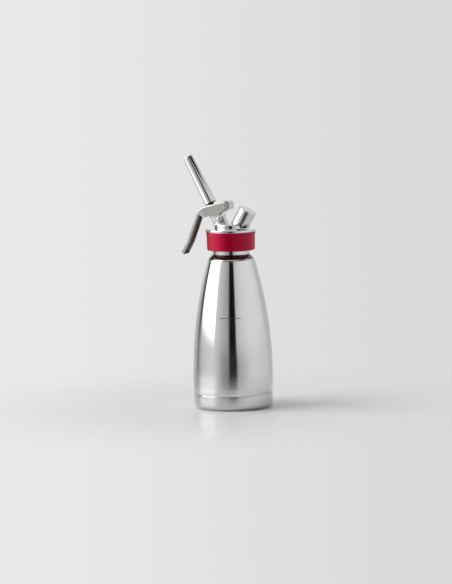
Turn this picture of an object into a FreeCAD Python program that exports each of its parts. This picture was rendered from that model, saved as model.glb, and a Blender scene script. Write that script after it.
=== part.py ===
import FreeCAD, Part
import math
import os
import re
import Sketcher

# A vacuum-walled cream dispenser, in millimetres and degrees.
# Origin: centre of the base, on the surface that the bottle stands on. +Z runs up the bottle's axis.
# The lever and its nozzle lean towards -X, and the gas charger's neck leans towards +X.
# Three lines order the whole part:
#   the bottle's axis, along +Z;
#   the valve's axis, from the valve foot, leaning back by valve_tilt (its own frame: z is up the axis);
#   the charger's axis, from the centre of the cap's seat, leaning by charger_tilt.

# Bottle: outer wall, base cup, inner flask and neck
body_radius = 51.2  # outer radius of the straight part of the bottle
shell_wall = 1.0  # thickness of the outer wall
taper_start = 42.0  # height where the side starts to curve in
shoulder_height = 187.5  # height where the side ends and the shoulder begins
shoulder_reach = 3.7  # width of the shoulder's rounding outside the crown
shoulder_round = 5.0  # rounding from the side to the shoulder
crown_rise = 4.9  # height of the shoulder's rounding
crown_reach = 3.6  # width of the shoulder's slope outside the lip
seam_height = 18.4  # top edge of the base cup
seam_gap = 0.5  # open line between base cup and outer wall
seam_bevel = 0.4  # how far the outer wall is drawn in at the seam
bevel_height = 5.0  # height over which the wall is drawn in
cup_inset = 0.6  # how far the base cup stands inside the outer wall's side
cup_wall = 1.0  # thickness of the base cup
cup_round = 6.2  # rounding of the base cup's lower corner
groove_inset = 16.2  # distance of the stiffening groove from the base cup's side
groove_width = 3.0  # width of the stiffening groove
groove_depth = 0.5  # depth of the stiffening groove
foot_height = 7.0  # lower end of the outer wall, inside the base cup
plate_rim = 4.0  # height of the vacuum plate's turned-up rim
seal_hole = 1.5  # radius of the evacuation hole
bead_radius = 4.0  # radius of the solder bead on the evacuation hole
bead_height = 1.4  # how far the solder bead stands below its plate
flask_gap = 4.0  # vacuum gap between the walls
flask_wall = 0.8  # thickness of the inner flask
flask_lift = 6.2  # room between vacuum plate and inner flask
flask_corner = 12.0  # rounding of the flask's lower corner
flask_drop = 5.5  # how far the flask's side ends below the outer wall's
flask_round = 4.0  # rounding of the flask's shoulder
getter_radius = 7.0  # radius of the getter disc
getter_thick = 1.0  # thickness of the getter disc
neck_radius = 22.5  # outer radius of the neck
neck_wall = 3.5  # wall of the threaded neck ring
lip_wall = 1.1  # width of the outer wall's lip round the neck
lip_rise = 2.8  # height of that lip over the shoulder's slope
neck_sunk = 4.7  # how far the neck ring reaches down inside the lip
neck_length = 30.5  # length of the neck ring
neck_chamfer = 0.8  # chamfer on the neck's top edge
head_pitch = 4.5  # pitch of the neck thread
neck_thread_drop = 17.5  # start of the neck thread, below the neck's top
neck_thread_rise = 12.0  # height that the neck thread climbs
neck_thread_tall = 1.4  # height of the neck thread's ridge
neck_thread_base = 2.6  # width of the neck thread's ridge at its root

# Head: skirt, rim, dome and silicone band
thread_relief = 0.3  # radial room round a thread's crest
skirt_length = 22.0  # depth of the head's skirt
skirt_wall = 3.4  # wall of the head's skirt
gasket_thick = 2.0  # thickness of the head gasket
gasket_inset = 0.6  # how far the head gasket reaches inside the neck ring
gasket_play = 0.4  # radial room round the head gasket
band_rise = 1.5  # how much of the skirt shows below the silicone band
band_low_thick = 3.1  # thickness of the band at its lower edge
band_mid_thick = 3.5  # thickness of the band under its lip
band_lip_thick = 4.2  # thickness of the band's lip, which ends flush with the rim plate
band_lip_height = 4.5  # height of the band's flared lip
band_round = 1.6  # rounding of the band's lower edge
rim_rise = 2.7  # underside of the rim plate, above the head's ceiling
rim_thick = 3.6  # thickness of the rim plate
rim_round = 1.2  # rounding of the rim plate's edges
dome_inset = 11.3  # width of the rim plate outside the dome
dome_height = 7.2  # height of the dome on the rim plate
dome_round = 3.6  # rounding of the dome's upper edge
dome_foot = 2.0  # hollow rounding at the dome's foot

# Valve axis and what lies on it; stations are measured up the axis from the rim plate's top
valve_offset = 10.1  # distance of the valve's foot from the bottle's axis
valve_tilt = 28.0  # lean of the valve's axis
tower_low = 2.0  # station of the tower's lower end, inside the dome
tower_top = 23.0  # station of the tower's top
tower_wall = 3.05  # wall of the tower at its top
tower_flare = 0.8  # how much the tower widens towards its foot
seat_depth = 1.0  # how far the valve's seat lies below the foot
seat_gap = 0.05  # room between the seal and its seat
throat_radius = 4.2  # radius of the throat above the seat
throat_length = 7.0  # length of that throat, up to the spring's lower seat
slide_play = 0.07  # radial room of a sliding fit
disc_overlap = 1.0  # how far the stem's disc reaches past the throat
chamber_play = 1.0  # room round the stem's disc
stem_disc_thick = 2.4  # thickness of that disc
seal_thick = 1.2  # thickness of the valve seal
stem_waist = 3.0  # radius of the stem in the throat
stem_shank = 3.6  # radius of the stem inside the spring
stem_stud = 3.2  # radius of the stem's upper stud
stem_bore = 1.7  # radius of the passage in the stem
bore_end_rise = 0.4  # closed end of that passage, above the seat
port_rise = 1.7  # cross ports, above the seat
port_radius = 1.0  # radius of the cross ports
piston_rise = 3.4  # lower face of the piston, above the seat
piston_length = 3.2  # length of the piston
oring_tube = 0.7  # radius of the stem ring's section
oring_groove = 1.8  # width of the stem ring's groove
stud_reach = 11.3  # how far the stud reaches into the nozzle
stud_thread_tall = 0.5  # height of the stud thread's ridge
nozzle_pitch = 1.5  # pitch of the nozzle thread
stud_thread_start = 1.0  # start of the stud's thread, above the nozzle's recess
stud_thread_rise = 6.0  # height that the stud's thread climbs
stud_thread_base = 1.0  # width of the stud thread's ridge at its root
collar_sunk = 1.0  # how far the spring collar reaches into the tower
collar_overlap = 1.05  # how far the collar's flange reaches past the spring bore
collar_flange = 2.6  # thickness of the collar's flange
clip_thick = 0.7  # thickness of the collar clip
clip_overlap = 0.7  # how far the collar clip stands out of the stem
clip_sunk = 0.4  # depth of the clip's groove
clip_play = 0.04  # room on each side of the clip
spring_radius = 4.6  # mean radius of the valve spring
spring_wire = 0.5  # radius of the valve spring's wire
spring_play = 0.45  # radial room round the valve spring
spring_pitch = 3.0  # pitch of the valve spring

# Nozzle
nozzle_lift = 14.0  # room between the tower's top and the nozzle's lower edge
nozzle_length = 66.5  # length of the nozzle
nozzle_low_radius = 7.55  # outer radius of the nozzle at its lower edge
nozzle_taper = 1.35  # how much the nozzle's radius shrinks towards its tip
nozzle_wall = 1.0  # wall of the nozzle's tube
nozzle_recess = 2.6  # depth of the recess in the nozzle's lower end
nozzle_seal_thick = 1.2  # thickness of the nozzle seal
nozzle_seal_bore = 2.0  # bore of the nozzle seal
nozzle_throat = 3.0  # length of the narrow throat above the nozzle seal
nozzle_throat_radius = 2.9  # radius of that throat
nozzle_cone = 5.0  # length over which the throat widens to the tube
stud_relief = 0.15  # radial room round the stud's thread in the nozzle
nozzle_edge = 0.3  # bevel on the nozzle's edges

# Horn that carries the lever's pin
pin_setback = 5.9  # lever pin behind the valve's foot, along X
pin_rise = 30.6  # lever pin above the rim plate
pin_radius = 2.0  # radius of the lever pin
pin_head_overlap = 0.6  # how far the pin's riveted heads stand out round it
pin_head_thick = 0.45  # thickness of the pin's riveted heads
pin_play = 0.06  # radial room of the lever on its pin
knob_radius = 6.2  # radius of the horn round the pin
cheek_play = 0.3  # room between the lever's cheeks and the flats of horn and tower
pedestal_step = 1.9  # how far the horn's foot stands out past those flats
pedestal_round = 1.4  # rounding of the foot's edges
scallop_setback = 2.0  # centre of the horn's hollow back, behind the pin
scallop_rise = 15.2  # centre of the horn's hollow back, above the rim plate
scallop_radius = 8.4  # radius of the horn's hollow back
horn_nose = 6.0  # how far the horn's nose stands past the pin, along X
horn_nose_drop = 5.6  # how far the horn's nose lies below the pin
foot_blend = 1.2  # hollow rounding where horn, tower and boss leave the dome

# Lever, measured from its pin
lever_half = 8.8  # half the lever's width
lever_wall = 1.6  # thickness of the lever's sheet
lever_end = 5.5  # radius of the lever's end round the pin
web_tilt = 14.9  # slope of the lever's top
web_length = 37.6  # length of the lever's top, from over the pin to the bend's corner
bend_radius = 20.0  # rounding of the bend between top and grip
grip_lean = 21.7  # lean of the grip's upper part
grip_length = 45.8  # length of the grip's upper part, from the bend's corner
tail_lean = 33.0  # lean of the grip's lower part
tail_length = 17.4  # length of the grip's lower part
knee_radius = 36.0  # rounding between the grip's two parts
tail_round = 4.4  # rounding of the grip's lower end
tail_depth = 5.2  # depth of the grip's flanges at the lower end
knee_depth = 3.9  # depth of the grip's flanges at the knee
grip_depth = 3.7  # depth of the grip's flanges at the top
notch_reach = 7.2  # distance from the bend's corner to the top of the grip's hollow
lobe_back = 29.8  # lowest corner of the cheek, before the pin
lobe_drop = 15.9  # lowest corner of the cheek, below the pin
lobe_round = 2.5  # rounding of that corner
chin_lean = 35.9  # slope of the cheek's edge under the pin
chin_length = 12.4  # length of that edge
slot_play = 0.8  # room beside the stem in the lever's slot
slot_back = 4.7  # slot's length behind the valve's axis
slot_front = 6.3  # slot's length before the valve's axis
pad_radius = 1.6  # radius of the lever's pressing pads
pad_drop = 1.0  # distance of the pads' centre below the sheet, along the valve's axis
press_play = 0.15  # room between pads and collar
knob_play = 0.5  # room between the horn's end and the lever's top
lever_fold = 1.6  # rounding of the folds between back and flanges

# Charger neck; stations are measured up its axis from the cap's seat
charger_seat_x = 16.3  # centre of the cap's seat, along X
charger_seat_rise = 9.9  # centre of the cap's seat, above the rim plate
charger_tilt = 30.6  # lean of the charger's axis
cap_radius = 11.6  # outer radius of the cap and of its boss
boss_depth = 11.0  # how far the boss reaches down into the dome
cap_top_wall = 2.2  # thickness of the cap's top
cap_round = 1.6  # rounding of the cap's top edge
cap_seat_gap = 0.2  # room under the cap's edge
cap_wall = 1.8  # wall of the cap round the thread
cap_liner_thick = 1.5  # thickness of the cap's liner
cap_liner_play = 0.2  # radial room round the cap's liner
nipple_height = 13.9  # height of the nipple above the seat
nipple_root = 8.9  # root radius of the nipple's thread
nipple_thread_tall = 0.6  # height of the nipple thread's ridge
nipple_thread_base = 1.6  # width of the nipple thread's ridge at its root
cap_pitch = 2.5  # pitch of the nipple's thread
nipple_thread_low = 2.4  # start of the nipple's thread
nipple_thread_rise = 8.5  # height that the nipple's thread climbs
nipple_bore = 5.0  # radius of the charger's socket
nipple_floor = 4.5  # station of the socket's floor
spigot_radius = 6.6  # radius of the nipple's spigot
spigot_length = 4.5  # length of the nipple's spigot
charger_seal_thick = 2.0  # thickness of the charger seal
piercer_shank = 1.5  # radius of the piercing pin's shank, and of the gas passage
piercer_needle = 1.15  # radius of the piercing pin's needle
piercer_bore = 0.45  # radius of the hole in the piercing pin
piercer_sunk = 5.5  # length of the piercing pin's shank
piercer_reach = 3.4  # length of the needle above the floor
piercer_slant = 40.0  # slant of the needle's cut end

# Check valve, below the seat on the charger's axis; depths are measured down from the seat
check_depth = 10.0  # depth of the check valve's seat
check_disc = 3.4  # radius of the check disc
check_play = 0.6  # radial room round the check disc
check_disc_thick = 1.3  # thickness of the check disc
check_spring_length = 3.6  # length of the check spring
check_spring_radius = 2.3  # mean radius of the check spring
check_spring_wire = 0.25  # radius of the check spring's wire
check_spring_pitch = 1.3  # pitch of the check spring
cage_thick = 1.4  # thickness of the check valve's cage
cage_hole = 1.9  # radius of the hole in the cage

doc = FreeCAD.newDocument("CreamDispenser")
sheet = doc.addObject("Spreadsheet::Sheet", "Sizes")
sheet_rows = []


def size(alias, value):
    """Put one size in the sheet: a plain number, or a formula that starts with an equals sign."""
    sheet_rows.append(alias)
    row = len(sheet_rows)
    sheet.set("A%d" % row, alias.replace("_", " "))
    sheet.set("B%d" % row, str(value))
    sheet.setAlias("B%d" % row, alias)


# Every size above goes into the sheet under its own name.
for alias, number in list(globals().items()):
    if isinstance(number, float):
        size(alias, number)

# Sizes that follow from the ones above: heights up the bottle, then what lies on the valve's axis,
# the lever's pin and sheet, and the charger neck.
size("crown_height", "=shoulder_height + crown_rise")
size("crown_radius", "=neck_radius + lip_wall + crown_reach")
size("shoulder_radius", "=crown_radius + shoulder_reach")
size("shoulder_inset", "=body_radius - shoulder_radius")
size("taper_radius", "=((shoulder_height - taper_start) ^ 2 + shoulder_inset ^ 2) / (2 * shoulder_inset)")
size("cup_radius", "=body_radius - cup_inset")
size("cup_bore", "=cup_radius - cup_wall")
size("groove_radius", "=cup_radius - groove_inset")
size("flask_radius", "=body_radius - shell_wall - flask_gap")
size("flask_bottom", "=foot_height + shell_wall + flask_lift")
size("flask_taper", "=taper_radius - shell_wall - flask_gap")
size("flask_shoulder", "=shoulder_height - flask_drop")
size("flask_shoulder_radius", "=flask_radius - flask_taper"
     " + sqrt(flask_taper ^ 2 - (flask_shoulder - taper_start) ^ 2)")
size("lip_top", "=crown_height + lip_rise")
size("neck_bore", "=neck_radius - neck_wall")
size("neck_bottom", "=lip_top - neck_sunk")
size("neck_top", "=neck_bottom + neck_length")
size("neck_thread_low", "=neck_top - neck_thread_drop")
size("neck_crest", "=neck_radius + neck_thread_tall")
size("gasket_inner", "=neck_bore - gasket_inset")
size("head_ceiling", "=neck_top + gasket_thick")
size("skirt_bore", "=neck_crest + thread_relief")
size("skirt_radius", "=skirt_bore + skirt_wall")
size("skirt_bottom", "=head_ceiling - skirt_length")
size("band_bottom", "=skirt_bottom + band_rise")
size("band_low_radius", "=skirt_radius + band_low_thick")
size("band_mid_radius", "=skirt_radius + band_mid_thick")
size("rim_bottom", "=head_ceiling + rim_rise")
size("rim_top", "=rim_bottom + rim_thick")
size("rim_radius", "=skirt_radius + band_lip_thick")
size("dome_radius", "=rim_radius - dome_inset")
size("dome_top", "=rim_top + dome_height")
size("valve_foot_x", "=-valve_offset")
size("seat_station", "=-seat_depth")
size("throat_top", "=seat_station + throat_length")
size("spring_bore", "=spring_radius + spring_wire + spring_play")
size("tower_top_radius", "=spring_bore + tower_wall")
size("tower_low_radius", "=tower_top_radius + tower_flare")
size("stem_disc", "=throat_radius + disc_overlap")
size("chamber_radius", "=stem_disc + chamber_play")
size("stem_bore_low", "=seat_station + bore_end_rise")
size("port_station", "=seat_station + port_rise")
size("piston_low", "=seat_station + piston_rise")
size("collar_bottom", "=tower_top - collar_sunk")
size("collar_radius", "=spring_bore + collar_overlap")
size("clip_radius", "=stem_stud + clip_overlap")
size("clip_groove", "=stem_stud - clip_sunk")
size("nozzle_low", "=tower_top + nozzle_lift")
size("nozzle_tip", "=nozzle_low + nozzle_length")
size("nozzle_tip_radius", "=nozzle_low_radius - nozzle_taper")
size("stem_top", "=nozzle_low + stud_reach")
size("nozzle_shoulder", "=stem_top + nozzle_seal_thick")
size("stud_root", "=stem_stud - stud_thread_tall")
size("stud_thread_low", "=nozzle_low + nozzle_recess + stud_thread_start")
size("pin_x", "=valve_foot_x + pin_setback")
size("pin_z", "=rim_top + pin_rise")
size("pin_head_radius", "=pin_radius + pin_head_overlap")
size("pin_station", "=pin_rise * cos(valve_tilt) - pin_setback * sin(valve_tilt)")
size("pin_arm", "=pin_setback * cos(valve_tilt) + pin_rise * sin(valve_tilt)")
size("scallop_x", "=pin_x + scallop_setback")
size("scallop_z", "=rim_top + scallop_rise")
size("cheek_half", "=lever_half - lever_wall")
size("horn_half", "=cheek_half - cheek_play")
size("pedestal_half", "=horn_half + pedestal_step")
size("slot_half", "=stem_stud + slot_play")
size("web_skew", "=valve_tilt - web_tilt")
size("slot_middle", "=(pin_arm + (lever_end - lever_wall / 2) * sin(web_skew)) / cos(web_skew)")
size("pad_station", "=pin_station + (lever_end - lever_wall"
     " + pin_arm * sin(web_skew)) / cos(web_skew) - pad_drop")
size("collar_top", "=pad_station - pad_radius - press_play")
size("bend_x", "=-lever_end * sin(web_tilt) - web_length * cos(web_tilt)")
size("bend_z", "=lever_end * cos(web_tilt) - web_length * sin(web_tilt)")
size("knee_x", "=bend_x - grip_length * sin(grip_lean)")
size("knee_z", "=bend_z - grip_length * cos(grip_lean)")
size("charger_seat_z", "=rim_top + charger_seat_rise")
size("cap_bore", "=cap_radius - cap_wall")
size("liner_low", "=nipple_height + 0.1")
size("liner_top", "=liner_low + cap_liner_thick")
size("cap_length", "=liner_top + cap_top_wall")
size("check_bore", "=check_disc + check_play")
size("check_seat", "=-check_depth - 0.05")
size("cage_top", "=check_seat - check_disc_thick - check_spring_length")
doc.recompute()

ALIASES = set(sheet_rows)
WORD = re.compile(r"[a-z_]+")


def linked(formula):
    """Turn a formula in the sheet's words into one that another object can hold."""
    return WORD.sub(lambda found: ("Sizes." if found.group() in ALIASES else "") + found.group(), formula)


def value(formula):
    """The present value of a formula in the sheet's words."""
    return float(sheet.evalExpression(formula))


def bind(thing, path, formula):
    """Bind one property to a formula of the sheet, unless the formula is a bare number."""
    if WORD.search(formula):
        thing.setExpression(path, linked(formula))


# Frames: a place as three formulas, then a turn about +Y or -Y
BOTTLE_FRAME = ("0", "0", "0", 1, "0")
VALVE_FRAME = ("valve_foot_x", "0", "rim_top", -1, "valve_tilt")
CHARGER_FRAME = ("charger_seat_x", "0", "charger_seat_z", 1, "charger_tilt")
PIN_FRAME = ("pin_x", "0", "pin_z", 1, "0")


def place(thing, frame):
    """Give an object the placement of a frame, bound to the sheet."""
    x, y, z, side, turn = frame
    spot = FreeCAD.Vector(value(x), value(y), value(z))
    thing.Placement = FreeCAD.Placement(spot, FreeCAD.Rotation(FreeCAD.Vector(0, side, 0), value(turn)))
    bind(thing, "Placement.Base.x", x)
    bind(thing, "Placement.Base.y", y)
    bind(thing, "Placement.Base.z", z)
    bind(thing, "Placement.Rotation.Angle", turn)


def new_body(label, frame=BOTTLE_FRAME):
    """A PartDesign body in one of the frames."""
    body = doc.addObject("PartDesign::Body", label.title().replace("_", ""))
    body.Label = label
    place(body, frame)
    return body


def new_sketch(body, name, role="XZ_Plane"):
    """An empty sketch on one of the body's own planes."""
    sketch = body.newObject("Sketcher::SketchObject", name)
    plane = [item for item in body.Origin.OriginFeatures if item.Role == role][0]
    sketch.AttachmentSupport = [(plane, "")]
    sketch.MapMode = "FlatFace"
    return sketch


def arc_between(start, end, radius, turn):
    """The short arc from start to end that turns left or right."""
    chord = end - start
    half = chord.Length / 2
    side = 1 if turn == "left" else -1
    normal = FreeCAD.Vector(-chord.y, chord.x, 0).normalize() * side
    centre = (start + end) / 2 + normal * math.sqrt(max(radius ** 2 - half ** 2, 0.0))
    middle = centre - normal * radius
    if turn == "right":
        return Part.Arc(end, middle, start)
    return Part.Arc(start, middle, end)


def draw_outline(body, name, points, role="XZ_Plane"):
    """A closed outline. A point is (x, y), or (x, y, turn, radius) where an arc leads up to it."""
    sketch = new_sketch(body, name, role)
    spots = [FreeCAD.Vector(value(point[0]), value(point[1]), 0) for point in points]
    count = len(points)
    ends = []
    for index in range(count):
        after = (index + 1) % count
        target = points[after]
        if len(target) == 4:
            curve = arc_between(spots[index], spots[after], value(target[3]), target[2])
            edge = sketch.addGeometry(curve, False)
            ends.append((edge, 1, 2) if target[2] == "left" else (edge, 2, 1))
        else:
            edge = sketch.addGeometry(Part.LineSegment(spots[index], spots[after]), False)
            ends.append((edge, 1, 2))
    for index in range(count):
        after = ends[(index + 1) % count]
        joined = Sketcher.Constraint("Coincident", ends[index][0], ends[index][2], after[0], after[1])
        sketch.addConstraint(joined)
    for index, point in enumerate(points):
        edge, first, last = ends[index]
        spot = spots[index]
        for kind, formula, number in (("DistanceX", point[0], spot.x), ("DistanceY", point[1], spot.y)):
            held = sketch.addConstraint(Sketcher.Constraint(kind, -1, 1, edge, first, number))
            bind(sketch, "Constraints[%d]" % held, formula)
        if len(point) == 4:
            radius = Sketcher.Constraint("Radius", ends[index - 1][0], value(point[3]))
            bind(sketch, "Constraints[%d]" % sketch.addConstraint(radius), point[3])
    return sketch


def draw_circle(body, name, x, y, radius, role="XZ_Plane"):
    """A circle whose centre and radius follow the sheet."""
    sketch = new_sketch(body, name, role)
    middle = FreeCAD.Vector(value(x), value(y), 0)
    edge = sketch.addGeometry(Part.Circle(middle, FreeCAD.Vector(0, 0, 1), value(radius)), False)
    for kind, formula, number in (("DistanceX", x, middle.x), ("DistanceY", y, middle.y)):
        held = sketch.addConstraint(Sketcher.Constraint(kind, -1, 1, edge, 3, number))
        bind(sketch, "Constraints[%d]" % held, formula)
    held = sketch.addConstraint(Sketcher.Constraint("Radius", edge, value(radius)))
    bind(sketch, "Constraints[%d]" % held, radius)
    return sketch


def turn_on_axis(body, name, sketch, kind="PartDesign::Revolution"):
    """Turn an outline about the sketch's upright axis."""
    feature = body.newObject(kind, name)
    feature.Profile = sketch
    feature.ReferenceAxis = (sketch, ["V_Axis"])
    feature.Angle = 360
    return feature


def turned(label, points, frame=BOTTLE_FRAME):
    """A turned piece: one body with one revolved outline of (radius, station) points."""
    body = new_body(label, frame)
    outline = draw_outline(body, label + "_outline", points)
    turn_on_axis(body, label.title().replace("_", "") + "Turn", outline)
    return body


def pad(body, name, sketch, length):
    """Raise an outline equally to both sides of its plane."""
    feature = body.newObject("PartDesign::Pad", name)
    feature.Profile = sketch
    feature.SideType = "Symmetric"
    feature.Length = value(length)
    bind(feature, "Length", length)
    return feature


def pocket(body, name, sketch, length):
    """Cut an outline equally to both sides of its plane."""
    feature = body.newObject("PartDesign::Pocket", name)
    feature.Profile = sketch
    feature.SideType = "Symmetric"
    feature.Length = value(length)
    bind(feature, "Length", length)
    return feature


def wind(body, name, sketch, pitch, height):
    """Sweep an outline along a right-handed helix about the sketch's upright axis."""
    feature = body.newObject("PartDesign::AdditiveHelix", name)
    feature.Profile = sketch
    feature.ReferenceAxis = (sketch, ["V_Axis"])
    feature.Mode = 0
    feature.Pitch = value(pitch)
    feature.Height = value(height)
    bind(feature, "Pitch", pitch)
    bind(feature, "Height", height)
    return feature


def round_edges(body, name, radius, chosen):
    """Round the edges of a body's last feature that the test picks."""
    doc.recompute()
    base = body.Tip
    names = ["Edge%d" % (index + 1) for index, edge in enumerate(base.Shape.Edges) if chosen(edge)]
    feature = body.newObject("PartDesign::Fillet", name)
    feature.Base = (base, names)
    feature.Radius = value(radius)
    bind(feature, "Radius", radius)
    return feature


def thread(body, name, root, tall, base, low, pitch, rise):
    """A right-handed thread ridge, sunk a little way into its root."""
    sunk = "0.2"
    flank = "(%s) * 0.3" % base
    points = [
        ("%s - %s" % (root, sunk), low),
        ("%s + %s" % (root, tall), "%s + %s" % (low, flank)),
        ("%s + %s" % (root, tall), "%s + %s - %s" % (low, base, flank)),
        ("%s - %s" % (root, sunk), "%s + %s" % (low, base)),
    ]
    wind(body, name, draw_outline(body, name + "_ridge", points), pitch, rise)


def ring(label, inner, outer, low, high, frame=BOTTLE_FRAME):
    """A plain flat ring."""
    return turned(label, [(inner, low), (outer, low), (outer, high), (inner, high)], frame)


def cross_cylinder(name, x, z, radius, half):
    """A cylinder along Y, centred on the XZ plane."""
    body = new_body(name)
    pad(body, name + "_pad", draw_circle(body, name + "_circle", x, z, radius), "2 * (%s)" % half)
    return body


def fuse(name, shapes):
    """Join shapes into one solid."""
    thing = doc.addObject("Part::MultiFuse", name)
    thing.Shapes = shapes
    thing.Refine = True
    return thing


def cut(name, base, tool):
    """Take one shape away from another."""
    thing = doc.addObject("Part::Cut", name)
    thing.Base = base
    thing.Tool = tool
    return thing


pieces = []


def keep(thing, label=None):
    """List a finished sub-part, under its own label."""
    if label:
        thing.Label = label
    pieces.append(thing)
    return thing


# ---- Bottle ----

# Outer wall: one drawn steel sheet, from its foot inside the base cup to the lip round the neck.
keep(turned("outer_shell", [
    ("cup_bore - shell_wall", "foot_height"),
    ("cup_bore", "foot_height"),
    ("cup_bore", "seam_height + seam_gap"),
    ("body_radius - seam_bevel", "seam_height + seam_gap"),
    ("body_radius", "seam_height + seam_gap + bevel_height"),
    ("body_radius", "taper_start"),
    ("shoulder_radius", "shoulder_height", "left", "taper_radius"),
    ("crown_radius", "crown_height", "left", "shoulder_round"),
    ("neck_radius + lip_wall", "lip_top - 1.2"),
    ("neck_radius + lip_wall", "lip_top - 0.4"),
    ("neck_radius + lip_wall - 0.4", "lip_top", "left", "0.4"),
    ("neck_radius", "lip_top"),
    ("neck_radius", "lip_top - 1.2 - shell_wall"),
    ("crown_radius - shell_wall / 2", "crown_height - shell_wall"),
    ("shoulder_radius - shell_wall", "shoulder_height", "right", "shoulder_round - shell_wall"),
    ("body_radius - shell_wall", "taper_start", "right", "taper_radius - shell_wall"),
    ("body_radius - shell_wall", "seam_height + seam_gap + bevel_height"),
    ("cup_bore - shell_wall", "seam_height"),
]))

# Base cup: pressed on over the outer wall's foot; its flat underside is what the bottle stands on.
keep(turned("base_cup", [
    ("0", "0"),
    ("groove_radius", "0"),
    ("groove_radius + groove_depth", "groove_depth"),
    ("groove_radius + groove_width - groove_depth", "groove_depth"),
    ("groove_radius + groove_width", "0"),
    ("cup_radius - cup_round", "0"),
    ("cup_radius", "cup_round", "left", "cup_round"),
    ("cup_radius", "seam_height - 0.3"),
    ("cup_radius - 0.3", "seam_height"),
    ("cup_bore", "seam_height"),
    ("cup_bore", "cup_round"),
    ("cup_radius - cup_round", "cup_wall", "right", "cup_round - cup_wall"),
    ("0", "cup_wall"),
]))

# Vacuum plate: closes the outer wall under the flask; the base cup hides it.
keep(turned("vacuum_plate", [
    ("seal_hole", "foot_height"),
    ("cup_bore - shell_wall", "foot_height"),
    ("cup_bore - shell_wall", "foot_height + plate_rim"),
    ("cup_bore - 2 * shell_wall", "foot_height + plate_rim"),
    ("cup_bore - 2 * shell_wall", "foot_height + shell_wall"),
    ("seal_hole", "foot_height + shell_wall"),
]))
keep(turned("vacuum_seal_bead", [
    ("0", "foot_height - bead_height"),
    ("bead_radius", "foot_height", "left", "(bead_radius ^ 2 + bead_height ^ 2) / (2 * bead_height)"),
    ("seal_hole", "foot_height"),
    ("seal_hole", "foot_height + shell_wall"),
    ("0", "foot_height + shell_wall"),
]))
keep(turned("getter_disc", [
    ("0", "flask_bottom - getter_thick"),
    ("getter_radius", "flask_bottom - getter_thick"),
    ("getter_radius", "flask_bottom"),
    ("0", "flask_bottom"),
]))

# Inner flask: hangs from the neck ring, clear of the outer wall all round.
keep(turned("inner_flask", [
    ("0", "flask_bottom"),
    ("flask_radius - flask_corner", "flask_bottom"),
    ("flask_radius", "flask_bottom + flask_corner", "left", "flask_corner"),
    ("flask_radius", "taper_start"),
    ("flask_shoulder_radius", "flask_shoulder", "left", "flask_taper"),
    ("flask_shoulder_radius - flask_round", "flask_shoulder + flask_round", "left", "1.05 * flask_round"),
    ("neck_bore", "neck_bottom - flask_wall"),
    ("neck_bore", "neck_top"),
    ("neck_bore - flask_wall", "neck_top"),
    ("neck_bore - flask_wall", "neck_bottom - 2 * flask_wall"),
    ("flask_shoulder_radius - flask_round - flask_wall", "flask_shoulder + flask_round - flask_wall"),
    ("flask_shoulder_radius - flask_wall", "flask_shoulder - flask_wall", "right", "flask_round"),
    ("flask_radius - flask_wall", "taper_start", "right", "flask_taper - flask_wall"),
    ("flask_radius - flask_wall", "flask_bottom + flask_corner"),
    ("flask_radius - flask_corner", "flask_bottom + flask_wall", "right", "flask_corner - flask_wall"),
    ("0", "flask_bottom + flask_wall"),
]))

# Neck ring: the thick threaded ring that both walls are welded to.
neck_ring = keep(turned("neck_ring", [
    ("neck_bore", "neck_bottom"),
    ("neck_radius", "neck_bottom"),
    ("neck_radius", "neck_top - neck_chamfer"),
    ("neck_radius - neck_chamfer", "neck_top"),
    ("neck_bore", "neck_top"),
]))
thread(neck_ring, "neck_thread", "neck_radius", "neck_thread_tall", "neck_thread_base",
       "neck_thread_low", "head_pitch", "neck_thread_rise")

keep(ring("head_gasket", "gasket_inner", "skirt_bore - gasket_play", "neck_top", "head_ceiling"))

# ---- Head ----

# Turned blank of the head: threaded skirt, rim plate and dome.
head_blank = turned("head_blank", [
    ("skirt_bore", "skirt_bottom + 0.5"),
    ("skirt_bore + 0.5", "skirt_bottom"),
    ("skirt_radius - 0.5", "skirt_bottom"),
    ("skirt_radius", "skirt_bottom + 0.5", "left", "0.5"),
    ("skirt_radius", "rim_bottom"),
    ("rim_radius - rim_round", "rim_bottom"),
    ("rim_radius", "rim_bottom + rim_round", "left", "rim_round"),
    ("rim_radius", "rim_top - rim_round"),
    ("rim_radius - rim_round", "rim_top", "left", "rim_round"),
    ("dome_radius + dome_foot", "rim_top"),
    ("dome_radius", "rim_top + dome_foot", "right", "dome_foot"),
    ("dome_radius", "dome_top - dome_round"),
    ("dome_radius - dome_round", "dome_top", "left", "dome_round"),
    ("0", "dome_top"),
    ("0", "head_ceiling"),
    ("skirt_bore", "head_ceiling"),
])

# Valve tower: a flared round post with a flat on each side, where the lever's cheeks pass.
tower_round = turned("tower_round", [
    ("0", "tower_low"),
    ("tower_low_radius", "tower_low"),
    ("tower_top_radius", "tower_top - 0.6"),
    ("tower_top_radius - 0.6", "tower_top", "left", "0.6"),
    ("0", "tower_top"),
], VALVE_FRAME)
tower_flats = new_body("tower_flats", VALVE_FRAME)
pad(tower_flats, "tower_flats_pad", draw_outline(tower_flats, "tower_flats_outline", [
    ("-2 * tower_top_radius", "tower_low - 1"),
    ("2 * tower_top_radius", "tower_low - 1"),
    ("2 * tower_top_radius", "tower_top + 1"),
    ("-2 * tower_top_radius", "tower_top + 1"),
]), "2 * horn_half")
tower = doc.addObject("Part::MultiCommon", "Tower")
tower.Shapes = [tower_round, tower_flats]

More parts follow.
